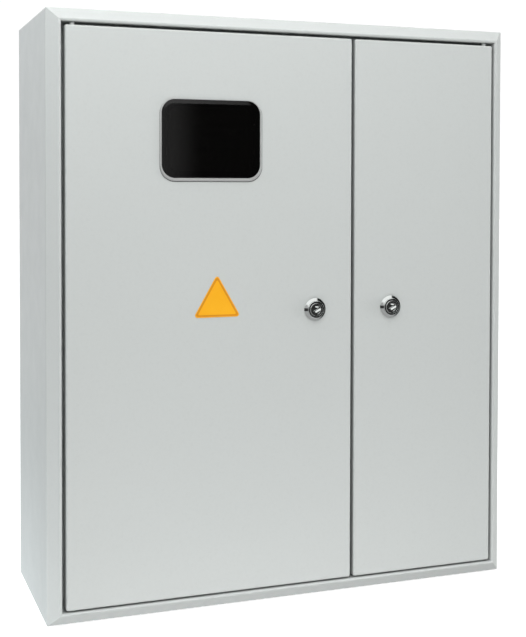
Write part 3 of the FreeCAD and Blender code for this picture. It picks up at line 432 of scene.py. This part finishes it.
def sticker_border():
    """Printed amber edge of the yellow triangle."""
    cx, z0, side, h, r = -67.9, 247.0, 41.5, 36.0, 2.0

    def outline(inset, rad):
        k = h / (side / 2)
        up = math.sqrt(1 + k * k)
        half = side / 2 - inset * (1 + up) / k
        zb, zt = z0 + inset, z0 + h - inset * up
        pts = [(cx - half, zb), (cx + half, zb), (cx, zt)]
        out = []
        for i in range(3):
            p, a, b = pts[i], pts[i - 1], pts[(i + 1) % 3]
            va = Vector((a[0] - p[0], a[1] - p[1])).normalized()
            vb = Vector((b[0] - p[0], b[1] - p[1])).normalized()
            half_a = va.angle(vb) / 2
            mid = (va + vb).normalized()
            c = Vector(p) + mid * (rad / math.sin(half_a))
            s0 = math.atan2(*reversed((Vector(p) + va * (rad / math.tan(half_a)) - c)[:]))
            s1 = math.atan2(*reversed((Vector(p) + vb * (rad / math.tan(half_a)) - c)[:]))
            turn = (s1 - s0 + math.pi) % (2 * math.pi) - math.pi
            for j in range(9):
                a1 = s0 + turn * j / 8
                out.append((c.x + rad * math.cos(a1), c.y + rad * math.sin(a1)))
        return out

    o, i_ = outline(0.7, 1.6), outline(2.1, 0.9)
    n = len(o)
    verts = [(x, -0.262, z) for x, z in o] + [(x, -0.262, z) for x, z in i_]
    verts += [(x, -0.252, z) for x, z in o] + [(x, -0.252, z) for x, z in i_]
    faces = []
    for j in range(n):
        k = (j + 1) % n
        faces += [(j, k, n + k, n + j), (2 * n + j, 3 * n + j, 3 * n + k, 2 * n + k),
                  (j, 2 * n + j, 2 * n + k, k), (n + j, n + k, 3 * n + k, 3 * n + j)]
    piece("sticker_border", mesh_from("sticker_border", verts, faces), M["amber"], "left_door")


for tag, lx in LOCKS.items():
    index_mark(tag, lx)
    thread(tag + "_lock_thread", (lx, LOCK_Z), "y", 9.0, 0.32, 1.5, 7.2, 20.6, 8.0, M["zinc"], tag + "_door")
    sx = {"left": -189.0 + 22.0, "right": 189.5 - 22.0}[tag]
    thread(tag + "_earth_thread", (sx, 46.0), "y", 2.5, 0.16, 0.8, 6.2, 12.2, None, M["zinc"], tag + "_door")
sticker_border()


# ---------------------------------------------------------------------------
# floor, world and lights
# ---------------------------------------------------------------------------
def floor_material():
    """Pale sweep, lit evenly enough to read as white."""
    m = Mat("pale_floor")
    a = m.noise(3.0, 3.0)
    m.link(m.ramp(a, [(0.3, (0.93, 0.93, 0.93)), (0.7, (0.95, 0.95, 0.95))]), m.p.inputs["Base Color"])
    m.set(Roughness=0.9, Specular_IOR_Level=0.1, Emission_Color=(1.0, 1.0, 1.0, 1.0), Emission_Strength=0.42)
    return m.m


bm = bmesh.new()
bmesh.ops.create_circle(bm, cap_ends=True, radius=14.0, segments=96)
fl = bpy.data.meshes.new("floor")
bm.to_mesh(fl)
bm.free()
floor = bpy.data.objects.new("floor", fl)
floor.location = (0, 0, -0.0002)
scene.collection.objects.link(floor)
fl.materials.append(floor_material())
# the lamps below stand in for the light that the floor throws back
floor.visible_diffuse = False
floor.visible_shadow = False
floor.visible_glossy = False


def backdrop():
    """Pale round wall behind the floor, seen by the camera only."""
    n, radius, high = 96, 13.5, 14.0
    verts = [(radius * math.cos(2 * math.pi * i / n), radius * math.sin(2 * math.pi * i / n), z)
             for z in (-0.5, high) for i in range(n)]
    faces = [(i, (i + 1) % n, n + (i + 1) % n, n + i) for i in range(n)]
    me = bpy.data.meshes.new("backdrop")
    me.from_pydata(verts, [], faces)
    m = Mat("pale_wall")
    m.link(m.ramp(m.noise(0.4, 2.0), [(0.3, (0.985, 0.985, 0.985)), (0.7, (1.0, 1.0, 1.0))]), m.p.inputs["Emission Color"])
    m.set(Base_Color=(0.05, 0.05, 0.05, 1.0), Roughness=1.0, Specular_IOR_Level=0.0, Emission_Strength=1.02)
    me.materials.append(m.m)
    ob = bpy.data.objects.new("backdrop", me)
    ob.visible_diffuse = ob.visible_glossy = ob.visible_transmission = ob.visible_shadow = False
    scene.collection.objects.link(ob)
    return ob


backdrop()

world = bpy.data.worlds.new("studio")
scene.world = world
world.use_nodes = True
wt = world.node_tree
wt.nodes.clear()
w_out = wt.nodes.new("ShaderNodeOutputWorld")
w_bg = wt.nodes.new("ShaderNodeBackground")
wt.links.new(w_bg.outputs[0], w_out.inputs[0])
w_tc = wt.nodes.new("ShaderNodeTexCoord")
w_sep = wt.nodes.new("ShaderNodeSeparateXYZ")
wt.links.new(w_tc.outputs["Generated"], w_sep.inputs[0])


def wmath(op, a, b=None):
    n = wt.nodes.new("ShaderNodeMath")
    n.operation = op
    for i, v in enumerate((a, b)):
        if v is None:
            continue
        if isinstance(v, (int, float)):
            n.inputs[i].default_value = v
        else:
            wt.links.new(v, n.inputs[i])
    return n.outputs[0]


def wstep(v, a, b):
    n = wt.nodes.new("ShaderNodeMapRange")
    n.interpolation_type = "SMOOTHSTEP"
    n.inputs["From Min"].default_value = a
    n.inputs["From Max"].default_value = b
    wt.links.new(v, n.inputs["Value"])
    return n.outputs["Result"]


# White ceiling and backdrop. In front of the box the room is light on the left
# and dim on the right; the dim part reaches higher the further right it goes.
TURN = math.radians(15.3)
dir_x, dir_y, dir_z = (w_sep.outputs[k] for k in "XYZ")
swing = wmath("ADD", wmath("MULTIPLY", dir_x, math.cos(TURN)), wmath("MULTIPLY", dir_y, math.sin(TURN)))
right_part = wstep(swing, -0.026, 0.034)
not_back = wmath("SUBTRACT", 1.0, wstep(dir_y, 0.55, 0.76))
rise = wmath("SUBTRACT", dir_z, wmath("MULTIPLY", swing, 0.9))
low_right = wmath("SUBTRACT", 1.0, wstep(rise, 0.24, 0.42))
dark = wmath("MULTIPLY", wmath("MULTIPLY", right_part, not_back), low_right)
low_left = wmath("SUBTRACT", 1.0, wstep(dir_z, 0.24, 0.42))
grey = wmath("MULTIPLY", wmath("SUBTRACT", 1.0, right_part), low_left)
far_left = wstep(wmath("MULTIPLY", swing, -1.0), 0.0, 0.70)
under = wstep(wmath("MULTIPLY", dir_z, -1.0), 0.10, 0.22)
under_right = wstep(swing, 0.48, 0.80)


def wmix(fac, a, b):
    """Mix two world colours; each is a socket or a grey value."""
    n = wt.nodes.new("ShaderNodeMix")
    n.data_type = "RGBA"
    wt.links.new(fac, n.inputs["Factor"])
    ins = [s for s in n.inputs if s.type == "RGBA"]
    for sock, v in zip(ins, (a, b)):
        if isinstance(v, float):
            sock.default_value = (v, v, v, 1.0)
        else:
            wt.links.new(v, sock)
    return [s for s in n.outputs if s.type == "RGBA"][0]


beside = wmath("MULTIPLY", wstep(dir_y, -0.15, 0.25), wmath("SUBTRACT", 1.0, right_part))
left_wall = wmix(beside, wmix(far_left, 0.30, 0.42), 0.42)
sky = wmix(grey, wmix(beside, 1.0, 0.58), left_wall)
sky = wmix(dark, sky, 0.020)
ground = wmix(under_right, 0.395, 0.05)
wt.links.new(wmix(under, sky, ground), w_bg.inputs["Color"])
w_bg.inputs["Strength"].default_value = 1.04


def area(name, at, to, size_x, size_y, watts, colour=(1, 1, 1)):
    d = bpy.data.lights.new(name, "AREA")
    d.shape = "RECTANGLE"
    d.size, d.size_y = size_x, size_y
    d.energy = watts
    d.color = colour
    o = bpy.data.objects.new(name, d)
    o.location = at
    o.rotation_mode = "QUATERNION"
    o.rotation_quaternion = (Vector(to) - Vector(at)).to_track_quat("-Z", "Y")
    o.visible_camera = False
    o.visible_glossy = False
    scene.collection.objects.link(o)
    return o


area("strip_top", (-0.15, -0.62, 0.80), (-0.05, -0.073, 0.47), 0.9, 0.12, 3.40)
area("floor_glow_front", (-0.10, -0.43, -0.22), (-0.05, -0.073, 0.10), 0.9, 0.12, 1.86)
area("floor_glow_left", (-0.46, 0.09, -0.14), (-0.21, 0.03, 0.06), 0.4, 0.10, 1.20, (0.90, 0.96, 1.0))
area("strip_left", (-0.46, 0.0, 0.70), (-0.21, 0.0, 0.48), 0.4, 0.10, 0.60, (0.90, 0.96, 1.0))
area("ceiling", (0.0, -0.5, 1.7), (0.0, 0.0, 0.3), 1.2, 0.8, 6.90)
area("panel_right", (2.0, -1.4, 0.9), (0.0, 0.0, 0.25), 1.3, 1.5, 1.20)
area("side_right", (2.4, -0.36, 0.15), (0.21, 0.0, 0.20), 1.0, 1.2, 49.00)


bpy.context.view_layer.update()
